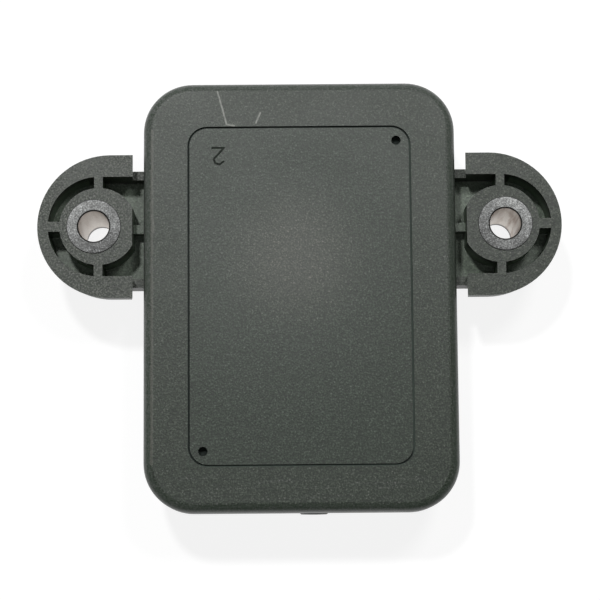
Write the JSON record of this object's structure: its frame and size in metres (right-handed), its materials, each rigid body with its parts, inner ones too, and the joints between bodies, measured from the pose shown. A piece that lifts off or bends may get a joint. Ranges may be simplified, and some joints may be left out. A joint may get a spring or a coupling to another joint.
{
  "type": "manifold absolute pressure sensor",
  "caption": "Flat box-shaped manifold pressure sensor with a sleeved bolt ear on each side, and a hose nipple and a plug socket under the lower edge of its cover.",
  "frame": {"origin": "on the rear mounting plane, under the middle of the box", "axes": "+X through both ears, to the right as the cover is looked at; +Y along the box, away from the plug and the hose nipple; +Z out of the cover's face"},
  "size_m": [0.109, 0.0892, 0.0245],
  "materials": {
    "cover_plastic": "fine moulded grain, dark grey",
    "housing_plastic": "fine moulded grain, dark grey",
    "sleeve_steel": "turned end faces, dull zinc coat",
    "sealant": "cured bead, satin",
    "seal_rubber": "satin",
    "sintered_bronze": "sintered, matt",
    "terminal_metal": "tinned, satin",
    "cell_plastic": "smooth, satin",
    "lid_metal": "rolled, satin",
    "cell_glass": "clear, polished",
    "silicon": "polished, opaque",
    "board_laminate": "green solder mask",
    "screw_steel": "zinc coat, satin",
    "chip_epoxy": "moulded, matt",
    "tantalum_resin": "moulded, satin",
    "ceramic": "fired, satin",
    "resistor_glaze": "glazed"
  },
  "bodies": {
    "root": {"front_cover": "cover_plastic", "rear_housing": "housing_plastic", "left_sleeve": "sleeve_steel", "right_sleeve": "sleeve_steel", "cover_seal": "sealant", "port_seal": "seal_rubber", "port_filter": "sintered_bronze", "supply_terminal": "terminal_metal", "signal_terminal": "terminal_metal", "ground_terminal": "terminal_metal", "pressure_cell_case": "cell_plastic", "pressure_cell_lid": "lid_metal", "glass_pedestal": "cell_glass", "sensing_die": "silicon", "pressure_cell_leads": "terminal_metal", "circuit_board": "board_laminate", "board_screws": "screw_steel", "amplifier_chip": "chip_epoxy", "supply_capacitor": "tantalum_resin", "output_capacitor": "ceramic", "filter_capacitor": "ceramic", "gain_resistor": "resistor_glaze", "offset_resistor": "resistor_glaze", "load_resistor": "resistor_glaze", "protection_diode": "chip_epoxy"}
  },
  "joints": []
}
